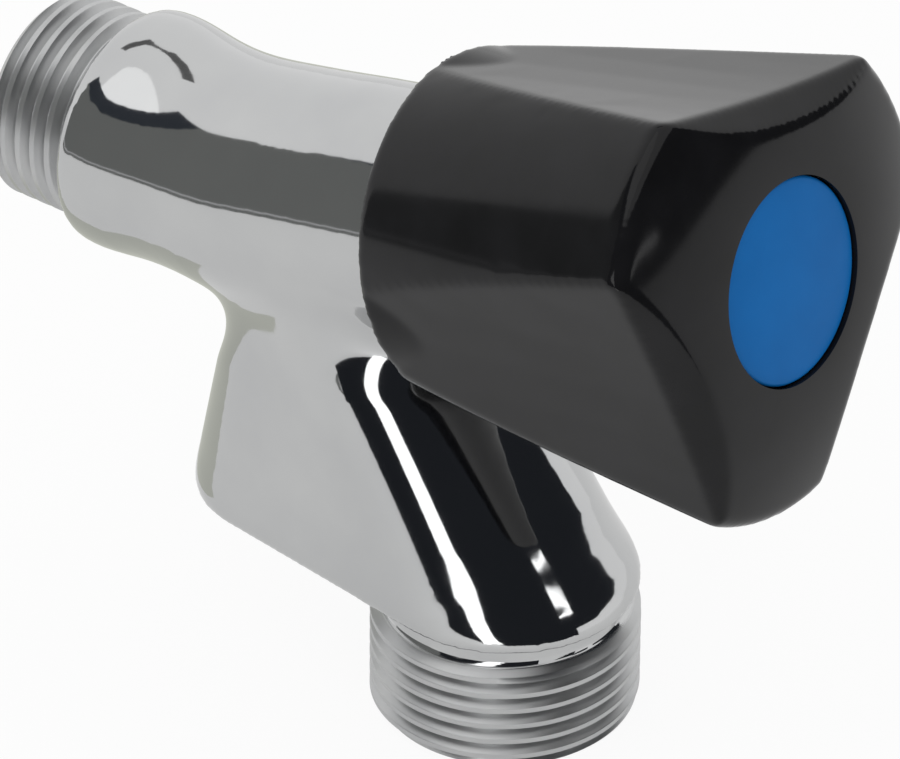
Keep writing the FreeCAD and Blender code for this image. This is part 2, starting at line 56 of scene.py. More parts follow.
MM = 0.001
JOIN_DISTANCE = 1e-6
CUT_TOLERANCE = 1e-7

# Axes and ends, from the frame
BEND = Vector(knob_turn["pos_m"])
HEAD = Vector(knob_turn["axis"]).normalized()
HEAD_FRAME = Matrix.Translation(BEND) @ Vector((0, 0, 1)).rotation_difference(HEAD).to_matrix().to_4x4()
INLET_RADIUS = mounts["inlet_thread"]["dims"]["r_mm"] * MM
OUTLET_RADIUS = mounts["outlet_thread"]["dims"]["r_mm"] * MM
OUTLET_X = mounts["outlet_thread"]["pos_m"][0]
INLET_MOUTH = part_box("valve_body")[0].x
OUTLET_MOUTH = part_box("valve_body")[0].z
INLET_OUTWARD = Vector((-1, 0, 0))
OUTLET_OUTWARD = Vector((0, 0, -1))

# Skins: the grid is skewed against the part, and each smoothing pass moves a point half way
SKEW = Euler((0.55, 0.4, 0.3)).to_matrix()
SMOOTHING = 0.5
ZONE_STEPS = 8
CREASE = math.radians(35)

# Casting, with the reach and the smoothing passes of its soft blends
FOOT = -34.3 * MM
BARREL_RADIUS = 12.0 * MM
STUB = 0.3 * MM
CAST_VOXEL = 0.44 * MM
CAST_PASSES = 6
CAST_SOFTENING = 64
CRISP_REACH = 5.0 * MM
BLEND_REACH = 7.0 * MM
BLEND_PASSES = 192
BEND_REACH = 12.0 * MM
BEND_PASSES = 64
WAIST_HEIGHT = 9.0 * MM
WAIST_EDGE = 0.8 * MM

# Threaded spigots
INLET_BORE = 7.25 * MM
OUTLET_BORE = 9.5 * MM
THREAD_PITCH = 1.814 * MM
THREAD_DEPTH = 1.0 * MM
THREAD_CHAMFER = 0.9 * MM
THREAD_STEPS = 144
LEAD_IN = 1.5 * THREAD_PITCH
SPARE_TURNS = 2
OUTLET_RELIEF_WIDTH = 1.5 * MM
OUTLET_RELIEF_DEPTH = 1.2 * MM
INLET_RUNOUT = 0.5 * MM
SPIGOT_ROOT = 1.5 * MM

# One pitch of the thread, from one root to the next: share of the pitch, share of the depth
THREAD_FORM = [(0.03, 0.0), (0.08, 0.06), (0.31, 0.9), (0.36, 1.0),
               (0.64, 1.0), (0.69, 0.9), (0.92, 0.06), (0.97, 0.0)]

# Knob, with heights along the head axis from the bend
KNOB_VOXEL = 0.32 * MM
KNOB_PASSES = 36
KNOB_SWELL = 0.51
KNOB_EASE = 12
KNOB_SHARE = 0.66
KNOB_FRONT = 64.0 * MM
KNOB_BACK = 25.7 * MM
KNOB_BACK_RADIUS = 16.75 * MM
BACK_RING_WALL = 2.2 * MM
BACK_RING_STEPS = 120
SCOOP_RUNOUT = 7.0 * MM
SCOOP_DEPTH = 0.85 * MM
CAVITY_RADIUS = 13.8 * MM
CAVITY_END = 1.0 * MM
RECESS_RADIUS = 10.15 * MM
RECESS_FLOOR = 59.3 * MM
PLUG_OVERLAP = 0.1 * MM
PLUG_STEPS = 160
RECESS_OVERCUT = 0.05 * MM
CUTTER_OVERHANG = 2.0 * MM

# Disc
DISC_GAP = 0.12 * MM
DISC_RADIUS = 9.9 * MM
DISC_FACE = 63.6 * MM
DISC_DEPTH = 4.0 * MM
DISC_WALL = 1.2 * MM
DISC_EDGE = 0.35 * MM
DISC_EDGE_STEPS = 4
DISC_CORNER = math.radians(40)
DISC_STEPS = 160

# Finishes: pattern scales are in waves to the metre
CLOUD_LOW = 0.3
CLOUD_HIGH = 0.7
CHROME_DARK = (0.505, 0.51, 0.515)
CHROME_LIGHT = (0.545, 0.55, 0.55)
CHROME_CLOUDS = 90
CHROME_SPECKLE = 1200
CHROME_RIPPLE = 240
CHROME_RIPPLE_DEPTH = 0.1 * MM
THREAD_CLOUDS = 220
THREAD_BRIGHT = 0.07
THREAD_DULL = 0.36
TURNING_ACROSS = 5200
TURNING_ALONG = 60
TURNING_STRENGTH = 0.35
TURNING_DEPTH = 0.03 * MM
MOULD_CLOUDS = 160
MOULD_PATCHES = 700
MOULD_GRAIN = 2600
MOULD_GRAIN_DEPTH = 0.02 * MM
METAL_CLOUDS = 300
METAL_PATCHES = 1500
METAL_RINGS = 900
METAL_RING_WANDER = 1.5
METAL_RING_STRENGTH = 0.3
METAL_RING_DEPTH = 0.02 * MM

# Studio
CENTRE = Vector((OUTLET_X - 8 * MM, 0, -5 * MM))
SPOUT_FRONT = Vector((OUTLET_X - 4 * MM, -11 * MM, -20 * MM))
SPOUT_TOE = Vector((OUTLET_X + 10 * MM, -5.5 * MM, -30.5 * MM))
STRIP_DISTANCE = 0.13
SCREEN_LEFT = -66
SCREEN_RIGHT = -14
SCREEN_DISTANCE = 0.36
SCREEN_TOP = 46
SCREEN_STEPS = 48
SCREEN_BLACK = (0.018, 0.020, 0.024)
FLOOR_TONE = (0.82, 0.82, 0.82)
FLOOR_ROUGHNESS = 0.9
FLOOR_WHITE = 0.92
FLOOR_MIRRORED = 0.45
FLOOR_REACH = 3.0
FLOOR_GAP = 0.05 * MM
CARD_LIFT = 0.5 * MM
ROOM_LIGHT = 0.9

# Camera, as fitted to the photograph: 900 by 759 with no shift
VIEW_AZIMUTH = 36.67
VIEW_ELEVATION = 34.82
VIEW_ROLL = 0.42
VIEW_AIM = Vector((39.47, 0, -13.9)) * MM
VIEW_DISTANCE = 817.05 * MM
VIEW_SENSOR = 36
VIEW_LENS = 339.95


def merged_copy(node):
    """The CAD node's mesh with its loose triangles joined, to be worked on as a new piece."""
    bm = bmesh.new()
    bm.from_mesh(nodes[node].data)
    bmesh.ops.remove_doubles(bm, verts=bm.verts, dist=JOIN_DISTANCE)
    return bm


def work_object(name, bm):
    """Put a mesh on a passing object, for the tools that only a modifier gives."""
    mesh = bpy.data.meshes.new(name)
    bm.to_mesh(mesh)
    bm.free()
    holder = bpy.data.objects.new(name, mesh)
    bpy.context.scene.collection.objects.link(holder)
    return holder


def take_result(holder):
    """What the modifiers of a passing object make of it. The object itself goes."""
    shape = holder.evaluated_get(bpy.context.evaluated_depsgraph_get())
    mesh = bpy.data.meshes.new_from_object(shape)
    bpy.data.objects.remove(holder)
    result = bmesh.new()
    result.from_mesh(mesh)
    return result


def cut_off(bm, place, outward):
    """Cut away all that lies outside a plane, and leave the cut open."""
    geometry = bm.verts[:] + bm.edges[:] + bm.faces[:]
    bmesh.ops.bisect_plane(bm, geom=geometry, dist=CUT_TOLERANCE, plane_co=place, plane_no=outward,
                           clear_outer=True)


def voxel_skin(bm, voxel):
    """The same shape in even small quads, which can be smoothed as a casting or moulding is.

    The shape is skewed meanwhile, because an edge that runs along the grid comes out in long waves.
    """
    bmesh.ops.rotate(bm, cent=(0, 0, 0), matrix=SKEW, verts=bm.verts)
    rough = work_object("skin", bm)
    remesh = rough.modifiers.new("even_skin", "REMESH")
    remesh.mode = "VOXEL"
    remesh.voxel_size = voxel
    skin = take_result(rough)
    bmesh.ops.rotate(skin, cent=(0, 0, 0), matrix=SKEW.inverted(), verts=skin.verts)
    return skin


def settle(skin, form):
    """Lay every point of a skin back on the form it was made from."""
    for vert in skin.verts:
        vert.co = form.find_nearest(vert.co)[0]


def thin_hidden(bm, hidden, share):
    """Keep only a share of the faces, and take the rest from where nobody looks."""
    dense = work_object("thinned", bm)
    places = [vert.index for vert in dense.data.vertices if hidden(vert.co)]
    dense.vertex_groups.new(name="hidden").add(places, 1.0, "REPLACE")
    thinning = dense.modifiers.new("thinning", "DECIMATE")
    thinning.ratio = share
    thinning.vertex_group = "hidden"
    return take_result(dense)


def soften(bm, verts, passes, swell=0.0):
    """Smooth the skin. With a swell, each pass gives back the size that it took, so that edges stay crisp."""
    factors = [SMOOTHING, -swell] if swell else [SMOOTHING]
    for _ in range(passes):
        for factor in factors:
            bmesh.ops.smooth_vert(bm, verts=verts, factor=factor,
                                  use_axis_x=True, use_axis_y=True, use_axis_z=True)


def soften_by_depth(bm, depth, reach, passes):
    """Smooth a zone more and more the deeper a point lies in it, so that the zone's border doesn't show."""
    for step in range(ZONE_STEPS):
        verts = [vert for vert in bm.verts if depth(vert.co) >= reach * step / ZONE_STEPS]
        soften(bm, verts, passes // ZONE_STEPS)


def add_piece(name, bm, body, stands_for, finish, crease=None):
    """Make a finished mesh into a piece that rides on a body and takes the place of CAD nodes."""
    mesh = bpy.data.meshes.new(name)
    bm.to_mesh(mesh)
    bm.free()
    mesh.shade_smooth()
    if crease:
        mesh.set_sharp_from_angle(angle=crease)
    piece = bpy.data.objects.new(name, mesh)
    bpy.context.scene.collection.objects.link(piece)
    mesh.materials.append(finish)
    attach(piece, body)
    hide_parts(*stands_for)


def cut_spigot(bm, centre, outward, bore, stub_radius):
    """Cut a spigot off just outside its shoulder, and close the cut as a ring round the bore."""
    cut_off(bm, centre + outward * STUB, outward)
    rim = [edge for edge in bm.edges if edge.is_boundary]
    for vert in {vert for edge in rim for vert in edge.verts}:
        arm = vert.co - centre
        arm -= outward * arm.dot(outward)
        if arm.length > bore + 2 * STUB:
            vert.co += arm * (stub_radius / arm.length - 1)
    bmesh.ops.triangle_fill(bm, use_beauty=True, edges=rim)


def head_radius(point):
    """How far a point lies from the head axis."""
    arm = point - BEND
    return (arm - HEAD * arm.dot(HEAD)).length


def shoulder_depth(point):
    """How far a point lies inside the two crisp shoulders, at the inlet and at the foot."""
    return min(point.z - FOOT, point.x)


def bend_depth(point):
    """How deep a point lies in the neck, where the boss bends into the tilted barrel."""
    return min(BEND_REACH - abs(point.x - BEND.x), point.z + BARREL_RADIUS / 2)


def crotch_depth(point):
    """How deep a point lies in the blend where the spout leaves the underside of the barrel."""
    along = (point - BEND).dot(HEAD)
    outside = head_radius(point) - BARREL_RADIUS
    return min(BLEND_REACH - outside, outside + BLEND_REACH / 4, -point.z, along + BARREL_RADIUS)


def waist_depth(point):
    """How deep a point lies in the blend between the slanted front of the spout and its foot."""
    above = point.z - FOOT
    return min(WAIST_HEIGHT - above, above - WAIST_EDGE, point.x - OUTLET_X)


def make_casting(finish):
    """The cast body without its spigots, with soft blends where the spout leaves the barrel."""
    bm = merged_copy("valve_body")
    cut_spigot(bm, Vector((0, 0, 0)), INLET_OUTWARD, INLET_BORE, INLET_RADIUS - 2 * THREAD_DEPTH)
    cut_spigot(bm, Vector((OUTLET_X, 0, FOOT)), OUTLET_OUTWARD, OUTLET_BORE, OUTLET_RADIUS - 2 * THREAD_DEPTH)
    form = BVHTree.FromBMesh(bm)
    skin = voxel_skin(bm, CAST_VOXEL)
    soften(skin, skin.verts[:], CAST_PASSES)
    settle(skin, form)
    soften(skin, skin.verts[:], CAST_PASSES)
    soften_by_depth(skin, shoulder_depth, CRISP_REACH, CAST_SOFTENING)
    soften_by_depth(skin, bend_depth, BEND_REACH / 2, BEND_PASSES)
    soften_by_depth(skin, crotch_depth, BLEND_REACH / 3, BLEND_PASSES)
    soften_by_depth(skin, waist_depth, WAIST_HEIGHT / 3, BLEND_PASSES)
    add_piece("casting", skin, "body", ["valve_body"], finish)


def close_bore(bm, bore, length):
    """Turn both open ends of the threaded tube inwards, and join them by the wall of the bore."""
    rims = []
    for place in (-SPIGOT_ROOT, length):
        edges = [edge for edge in bm.edges
                 if edge.is_boundary and all(abs(vert.co.z - place) < JOIN_DISTANCE for vert in edge.verts)]
        grown = bmesh.ops.extrude_edge_only(bm, edges=edges)["geom"]
        for vert in (item for item in grown if isinstance(item, bmesh.types.BMVert)):
            arm = Vector((vert.co.x, vert.co.y, 0))
            vert.co += arm * (bore / arm.length - 1)
        rims += [item for item in grown if isinstance(item, bmesh.types.BMEdge)]
    bmesh.ops.bridge_loops(bm, edges=[edge for edge in rims if edge.is_boundary])


def make_threaded_spigot(name, centre, outward, length, radius, bore, relief_width, relief_depth, finish):
    """A spigot with a right-handed pipe thread, drawn along Z and then laid on the casting."""
    bm = bmesh.new()
    turns = math.ceil((length + SPIGOT_ROOT) / THREAD_PITCH) + SPARE_TURNS
    start = -SPIGOT_ROOT - LEAD_IN
    root = radius - THREAD_DEPTH
    chain = []
    for turn in range(turns):
        for share, height in THREAD_FORM:
            point = (root + height * THREAD_DEPTH, 0, start + (turn + share) * THREAD_PITCH)
            chain.append(bm.verts.new(point))
    links = [bm.edges.new(pair) for pair in zip(chain, chain[1:])]
    bmesh.ops.spin(bm, geom=chain + links, cent=(0, 0, 0), axis=(0, 0, 1), angle=math.tau, steps=THREAD_STEPS,
                   dvec=(0, 0, THREAD_PITCH / THREAD_STEPS), use_duplicate=False)
    bmesh.ops.remove_doubles(bm, verts=bm.verts, dist=JOIN_DISTANCE)
    cut_off(bm, (0, 0, -SPIGOT_ROOT), (0, 0, -1))
    cut_off(bm, (0, 0, length), (0, 0, 1))
    for vert in bm.verts:
        run_out = radius - relief_depth + max(0.0, vert.co.z - relief_width)
        chamfer = radius - THREAD_CHAMFER + length - vert.co.z
        arm = Vector((vert.co.x, vert.co.y, 0))
        limit = min(run_out, chamfer)
        if arm.length > limit:
            vert.co -= arm * (1 - limit / arm.length)
    close_bore(bm, bore, length)
    bmesh.ops.recalc_face_normals(bm, faces=bm.faces)
    turn = Vector((0, 0, 1)).rotation_difference(outward).to_matrix().to_4x4()
    bmesh.ops.transform(bm, matrix=Matrix.Translation(centre) @ turn, verts=bm.verts)
    add_piece(name, bm, "body", ["valve_body"], finish, CREASE)


def turn_outline(bm, outline, closed, steps):
    """Turn an outline of radii and heights round the Z axis, with its seam and poles joined."""
    points = [bm.verts.new((radius, 0, height)) for radius, height in outline]
    followers = points[1:] + points[:1] if closed else points[1:]
    links = [bm.edges.new(pair) for pair in zip(points, followers)]
    bmesh.ops.spin(bm, geom=points + links, cent=(0, 0, 0), axis=(0, 0, 1), angle=math.tau, steps=steps,
                   use_merge=True, use_duplicate=False)
    bmesh.ops.remove_doubles(bm, verts=bm.verts, dist=JOIN_DISTANCE)
    bmesh.ops.recalc_face_normals(bm, faces=bm.faces)


def add_plug(bm, radius, low, high):
    """A closed cylinder on the Z axis, between two heights."""
    bmesh.ops.create_cone(bm, cap_ends=True, segments=PLUG_STEPS, radius1=radius, radius2=radius,
                          depth=high - low, matrix=Matrix.Translation((0, 0, (low + high) / 2)))


def add_back_ring(bm):
    """A tapered ring in the knob's wall, where the scoops run out before they reach its round back edge."""
    inner = KNOB_BACK_RADIUS - BACK_RING_WALL
    outline = [(inner, KNOB_BACK), (KNOB_BACK_RADIUS, KNOB_BACK),
               (KNOB_BACK_RADIUS - SCOOP_DEPTH, KNOB_BACK + SCOOP_RUNOUT), (inner, KNOB_BACK + SCOOP_RUNOUT)]
    turn_outline(bm, outline, True, BACK_RING_STEPS)


def inside_knob(point):
    """Whether a point, in the knob's own frame, lies on the walls of the cavity round the headwork."""
    if math.hypot(point.x, point.y) >= CAVITY_RADIUS:
        return False
    return KNOB_BACK + CAVITY_END < point.z < RECESS_FLOOR - CAVITY_END


def cut_recess(skin):
    """Sink the disc's recess into the knob with a clean edge."""
    cylinder = bmesh.new()
    add_plug(cylinder, DISC_RADIUS + DISC_GAP, RECESS_FLOOR - RECESS_OVERCUT, KNOB_FRONT + CUTTER_OVERHANG)
    blank = work_object("knob_blank", skin)
    cutter = work_object("recess_cutter", cylinder)
    sink = blank.modifiers.new("recess", "BOOLEAN")
    sink.operation = "DIFFERENCE"
    sink.solver = "EXACT"
    sink.object = cutter
    knob = take_result(blank)
    bpy.data.objects.remove(cutter)
    return knob


def make_knob(finish):
    """The three-lobed knob with its edges eased as a moulding's are.

    Its recess is filled first and cut again at the end, so that the smoothing leaves the recess's edge alone.
    """
    bm = merged_copy("knob")
    bmesh.ops.transform(bm, matrix=HEAD_FRAME.inverted(), verts=bm.verts)
    add_plug(bm, RECESS_RADIUS + PLUG_OVERLAP, RECESS_FLOOR, KNOB_FRONT)
    add_back_ring(bm)
    form = BVHTree.FromBMesh(bm)
    skin = voxel_skin(bm, KNOB_VOXEL)
    soften(skin, skin.verts[:], KNOB_PASSES, KNOB_SWELL)
    settle(skin, form)
    soften(skin, skin.verts[:], KNOB_EASE)
    knob = cut_recess(thin_hidden(skin, inside_knob, KNOB_SHARE))
    bmesh.ops.transform(knob, matrix=HEAD_FRAME, verts=knob.verts)
    add_piece("knob_moulding", knob, "knob_group", ["knob"], finish, CREASE)


def make_disc(finish):
    """The blue cap, turned with an eased edge and an open back."""
    inner = DISC_RADIUS - DISC_WALL
    outline = [(0, 0), (DISC_RADIUS, 0), (DISC_RADIUS, -DISC_DEPTH), (inner, -DISC_DEPTH),
               (inner, -DISC_WALL), (0, -DISC_WALL)]
    bm = bmesh.new()
    turn_outline(bm, outline, False, DISC_STEPS)
    sharp = [edge for edge in bm.edges if edge.calc_face_angle(0) > DISC_CORNER]
    bmesh.ops.bevel(bm, geom=sharp, offset=DISC_EDGE, affect="EDGES", segments=DISC_EDGE_STEPS, profile=0.5,
                    material=-1)
    bmesh.ops.transform(bm, matrix=HEAD_FRAME @ Matrix.Translation((0, 0, DISC_FACE)), verts=bm.verts)
    add_piece("disc_cap", bm, "knob_group", ["colour_disc"], finish)


def new_finish(name, roughness, metallic=0.0):
    """A material with its shader, and the Object coordinates that its patterns read."""
    material = bpy.data.materials.new(name)
    material.use_nodes = True
    tree = material.node_tree
    shader = tree.nodes["Principled BSDF"]
    shader.inputs["Roughness"].default_value = roughness
    shader.inputs["Metallic"].default_value = metallic
    place = tree.nodes.new("ShaderNodeTexCoord").outputs["Object"]
    return material, tree, shader, place


def noise(tree, place, scale, detail=3.0):
    node = tree.nodes.new("ShaderNodeTexNoise")
    node.inputs["Scale"].default_value = scale
    node.inputs["Detail"].default_value = detail
    tree.links.new(place, node.inputs["Vector"])
    return node.outputs["Fac"]


def spread_value(tree, value, low, high, value_low=0.0, value_high=1.0):
    """Spread a value, from its own range, between two others."""
    spread = tree.nodes.new("ShaderNodeMapRange")
    spread.inputs["From Min"].default_value = value_low
    spread.inputs["From Max"].default_value = value_high
    spread.inputs["To Min"].default_value = low
    spread.inputs["To Max"].default_value = high
    tree.links.new(value, spread.inputs["Value"])
    return spread.outputs["Result"]


def vary_colour(tree, shader, value, dark, light):
    """Let the colour wander between two tones."""
    ramp = tree.nodes.new("ShaderNodeValToRGB")
    ramp.color_ramp.elements[0].position = CLOUD_LOW
    ramp.color_ramp.elements[1].position = CLOUD_HIGH
    ramp.color_ramp.elements[0].color = (*dark, 1)
    ramp.color_ramp.elements[1].color = (*light, 1)
    tree.links.new(value, ramp.inputs["Fac"])
    tree.links.new(ramp.outputs["Color"], shader.inputs["Base Color"])


def vary_roughness(tree, shader, value, low, high):
    tree.links.new(spread_value(tree, value, low, high), shader.inputs["Roughness"])


def add_bump(tree, shader, value, strength, depth):
    bump = tree.nodes.new("ShaderNodeBump")
    bump.inputs["Strength"].default_value = strength
    bump.inputs["Distance"].default_value = depth
    tree.links.new(value, bump.inputs["Height"])
    tree.links.new(bump.outputs["Normal"], shader.inputs["Normal"])


def chrome_finish(name, low, high, ripple):
    """Plated casting: bright, with the faint ripple and speckle that polishing leaves."""
    material, tree, shader, place = new_finish(name, low, metallic=1.0)
    vary_colour(tree, shader, noise(tree, place, CHROME_CLOUDS), CHROME_DARK, CHROME_LIGHT)
    vary_roughness(tree, shader, noise(tree, place, CHROME_SPECKLE), low, high)
    add_bump(tree, shader, noise(tree, place, CHROME_RIPPLE, detail=2.0), ripple, CHROME_RIPPLE_DEPTH)
    return material


def threaded_finish(name, axis, bright_end, dull_start):
    """Plated thread: duller than the casting, with the fine rings of turning, and bright beside the shoulder.

    The finish changes between two places that are measured along the spigot's axis, from the origin.
    """
    material, tree, shader, place = new_finish(name, THREAD_DULL, metallic=1.0)
    vary_colour(tree, shader, noise(tree, place, THREAD_CLOUDS), CHROME_DARK, CHROME_LIGHT)
    lay = tree.nodes.new("ShaderNodeMapping")
    lay.inputs["Scale"].default_value = [TURNING_ACROSS if part else TURNING_ALONG for part in axis]
    tree.links.new(place, lay.inputs["Vector"])
    rings = noise(tree, lay.outputs["Vector"], 1.0, detail=2.0)
    add_bump(tree, shader, rings, TURNING_STRENGTH, TURNING_DEPTH)
    along = tree.nodes.new("ShaderNodeVectorMath")
    along.operation = "DOT_PRODUCT"
    along.inputs[1].default_value = axis
    tree.links.new(place, along.inputs[0])
    dullness = spread_value(tree, along.outputs["Value"], THREAD_BRIGHT, THREAD_DULL, bright_end, dull_start)
    tree.links.new(dullness, shader.inputs["Roughness"])
    return material


def moulded_finish(name, dark, light, low, high, grain, gloss):
    """Plastic or rubber from a mould, between two tones and two roughnesses, with a fine grain."""
    material, tree, shader, place = new_finish(name, low)
    shader.inputs["Specular IOR Level"].default_value = gloss
    vary_colour(tree, shader, noise(tree, place, MOULD_CLOUDS), dark, light)
    vary_roughness(tree, shader, noise(tree, place, MOULD_PATCHES), low, high)
    add_bump(tree, shader, noise(tree, place, MOULD_GRAIN), grain, MOULD_GRAIN_DEPTH)
    return material


def turned_metal_finish(name, dark, light, low, high):
    """Machined metal with fine rings round the head axis."""
    material, tree, shader, place = new_finish(name, low, metallic=1.0)
    vary_colour(tree, shader, noise(tree, place, METAL_CLOUDS), dark, light)
    vary_roughness(tree, shader, noise(tree, place, METAL_PATCHES), low, high)
    lay = tree.nodes.new("ShaderNodeMapping")
    lay.inputs["Rotation"].default_value = (0, math.asin(HEAD.z), 0)
    tree.links.new(place, lay.inputs["Vector"])
    rings = tree.nodes.new("ShaderNodeTexWave")
    rings.bands_direction = "X"
    rings.inputs["Scale"].default_value = METAL_RINGS
    rings.inputs["Distortion"].default_value = METAL_RING_WANDER
    tree.links.new(lay.outputs["Vector"], rings.inputs["Vector"])
    add_bump(tree, shader, rings.outputs["Fac"], METAL_RING_STRENGTH, METAL_RING_DEPTH)
    return material


def dress_node(node, finish):
    """Give a CAD node that stays in the scene its finish."""
    materials = nodes[node].data.materials
    materials.clear()
    materials.append(finish)


def stage_card(name, bm, material):
    """Part of the studio: the floor, or a card that only the object's reflections show."""
    mesh = bpy.data.meshes.new(name)
    bm.to_mesh(mesh)
    bm.free()
    card = bpy.data.objects.new(name, mesh)
    mesh.materials.append(material)
    bpy.context.scene.collection.objects.link(card)
    return card


def glowing(name, colour):
    """A card's even tone, whatever light falls on it."""
    material = bpy.data.materials.new(name)
    material.use_nodes = True
    tree = material.node_tree
    tree.nodes.remove(tree.nodes["Principled BSDF"])
    glow = tree.nodes.new("ShaderNodeEmission")
    glow.inputs["Color"].default_value = (*colour, 1)
    tree.links.new(glow.outputs["Emission"], tree.nodes["Material Output"].inputs["Surface"])
    return material


def seen_share(tree, camera_share, mirror_share):
    """How much of the studio's own white shows: to the camera, and in polished or clear surfaces."""
    ray = tree.nodes.new("ShaderNodeLightPath")
    total = None
    shares = {"Is Camera Ray": camera_share,
              "Is Glossy Ray": mirror_share,
              "Is Transmission Ray": mirror_share}
    for kind, share in shares.items():
        part = tree.nodes.new("ShaderNodeMath")
        part.operation = "MULTIPLY_ADD"
        part.use_clamp = True
        part.inputs[1].default_value = share
        part.inputs[2].default_value = 0
        tree.links.new(ray.outputs[kind], part.inputs[0])
        if total:
            tree.links.new(total, part.inputs[2])
        total = part.outputs["Value"]
    return total


def make_floor():
    """Pale floor that is seen almost white, with the object's soft shadow left on it."""
    material = bpy.data.materials.new("pale_floor")
    material.use_nodes = True
    tree = material.node_tree
    shader = tree.nodes["Principled BSDF"]
    shader.inputs["Base Color"].default_value = (*FLOOR_TONE, 1)
    shader.inputs["Roughness"].default_value = FLOOR_ROUGHNESS
    glow = tree.nodes.new("ShaderNodeEmission")
    mix = tree.nodes.new("ShaderNodeMixShader")
    tree.links.new(seen_share(tree, FLOOR_WHITE, FLOOR_MIRRORED), mix.inputs["Fac"])
    tree.links.new(shader.outputs["BSDF"], mix.inputs[1])
    tree.links.new(glow.outputs["Emission"], mix.inputs[2])
    tree.links.new(mix.outputs["Shader"], tree.nodes["Material Output"].inputs["Surface"])
    bm = bmesh.new()
    bmesh.ops.create_grid(bm, x_segments=1, y_segments=1, size=FLOOR_REACH)
    bmesh.ops.translate(bm, vec=(OUTLET_X, 0, OUTLET_MOUTH - FLOOR_GAP), verts=bm.verts)
    stage_card("floor", bm, material)


def make_world():
    """White all round where it is seen, and a little dimmer where it lights the object."""
    world = bpy.data.worlds.new("studio")
    bpy.context.scene.world = world
    world.use_nodes = True
    tree = world.node_tree
    air = tree.nodes["Background"]
    air.inputs["Color"].default_value = (1, 1, 1, 1)
    tree.links.new(spread_value(tree, seen_share(tree, 1.0, 1.0), ROOM_LIGHT, 1.0), air.inputs["Strength"])


def direction(azimuth, elevation):
    """A way out from the object: azimuth 0 is in front of the XZ plane, towards -Y, and 90 towards +X."""
    a = math.radians(azimuth)
    e = math.radians(elevation)
    return Vector((math.sin(a) * math.cos(e), -math.cos(a) * math.cos(e), math.sin(e)))


def add_softbox(name, aim, azimuth, elevation, distance, width, height, brightness, roll=0):
    """A soft lamp that faces a spot on the object, as bright as a white card of that strength."""
    lamp = bpy.data.lights.new(name, "AREA")
    lamp.shape = "RECTANGLE"
    lamp.size = width
    lamp.size_y = height
    lamp.energy = math.pi * width * height * brightness
    box = bpy.data.objects.new(name, lamp)
    box.location = aim + distance * direction(azimuth, elevation)
    facing = (aim - box.location).to_track_quat("-Z", "Y").to_matrix()
    box.rotation_euler = (facing @ Matrix.Rotation(math.radians(roll), 3, "Z")).to_euler()
    box.visible_camera = False
    bpy.context.scene.collection.objects.link(box)


def reflection_only(card):
    """Show a card in nothing but the object's reflections."""
    card.visible_camera = False
    card.visible_diffuse = False
    card.visible_shadow = False
    card.visible_transmission = False


def floor_shadow_sheet(name, left, right, front, back, tone):
    """A tinted, darker sheet on the floor behind the inlet: painted shadow of the valve on the floor, glowing in
    its own tone and seen only in reflections.
    """
    bm = bmesh.new()
    bmesh.ops.create_grid(bm, x_segments=1, y_segments=1, size=0.5)
    bmesh.ops.scale(bm, vec=(right - left, back - front, 1), verts=bm.verts)
    centre = ((left + right) / 2, (front + back) / 2, OUTLET_MOUTH + CARD_LIFT)
    bmesh.ops.translate(bm, vec=centre, verts=bm.verts)
    reflection_only(stage_card(name, bm, glowing(name, tone)))


def curved_screen(name, first, last, distance, low, top, tone):
    """A screen bent round part of the object, from one azimuth to another and between two elevations."""
    bm = bmesh.new()
    start = CENTRE + distance * direction(first, 0)
    ends = []
    for elevation in (low, top):
        height = max(CENTRE.z + distance * math.tan(math.radians(elevation)), OUTLET_MOUTH)
        ends.append(bm.verts.new((start.x, start.y, height)))
    upright = bm.edges.new(ends)
    bmesh.ops.spin(bm, geom=ends + [upright], cent=CENTRE, axis=(0, 0, 1), angle=math.radians(last - first),
                   steps=SCREEN_STEPS, use_duplicate=False)
    reflection_only(stage_card(name, bm, glowing(name, tone)))


def make_camera():
    """The photograph's view."""
    back = direction(VIEW_AZIMUTH, VIEW_ELEVATION)
    data = bpy.data.cameras.new("photo_view")
    data.sensor_width = VIEW_SENSOR
    data.lens = VIEW_LENS
    camera = bpy.data.objects.new("photo_view", data)
    facing = (-back).to_track_quat("-Z", "Y").to_matrix()
    turn = facing @ Matrix.Rotation(math.radians(VIEW_ROLL), 3, "Z")
    camera.matrix_world = Matrix.Translation(VIEW_AIM + back * VIEW_DISTANCE) @ turn.to_4x4()
    bpy.context.scene.collection.objects.link(camera)
    bpy.context.scene.camera = camera


# Finishes
plated = chrome_finish("plated_casting", low=0.04, high=0.09, ripple=0.05)
inlet_plating = threaded_finish("plated_inlet_thread", INLET_OUTWARD,
                                bright_end=0.2 * MM, dull_start=0.5 * MM)
outlet_plating = threaded_finish("plated_outlet_thread", OUTLET_OUTWARD,
                                 bright_end=-FOOT + 1.7 * MM, dull_start=-FOOT + 2.1 * MM)
black_moulding = moulded_finish("black_moulding", dark=(0.005, 0.005, 0.0055), light=(0.008, 0.008, 0.009),
                                low=0.09, high=0.14, grain=0.03, gloss=0.22)
blue_moulding = moulded_finish("blue_moulding", dark=(0.002, 0.115, 0.37), light=(0.003, 0.128, 0.405),
                               low=0.3, high=0.42, grain=0.06, gloss=0.08)
brass = turned_metal_finish("turned_brass", dark=(0.62, 0.45, 0.20), light=(0.78, 0.61, 0.31),
                            low=0.18, high=0.32)
zinc = turned_metal_finish("zinc_plate", dark=(0.52, 0.52, 0.50), light=(0.66, 0.66, 0.63),
                           low=0.25, high=0.4)
rubber = moulded_finish("seal_rubber", dark=(0.012, 0.012, 0.012), light=(0.028, 0.028, 0.028),
                        low=0.55, high=0.75, grain=0.3, gloss=0.5)
white_washer = moulded_finish("washer_plastic", dark=(0.66, 0.66, 0.62), light=(0.76, 0.76, 0.73),
                              low=0.4, high=0.55, grain=0.1, gloss=0.5)
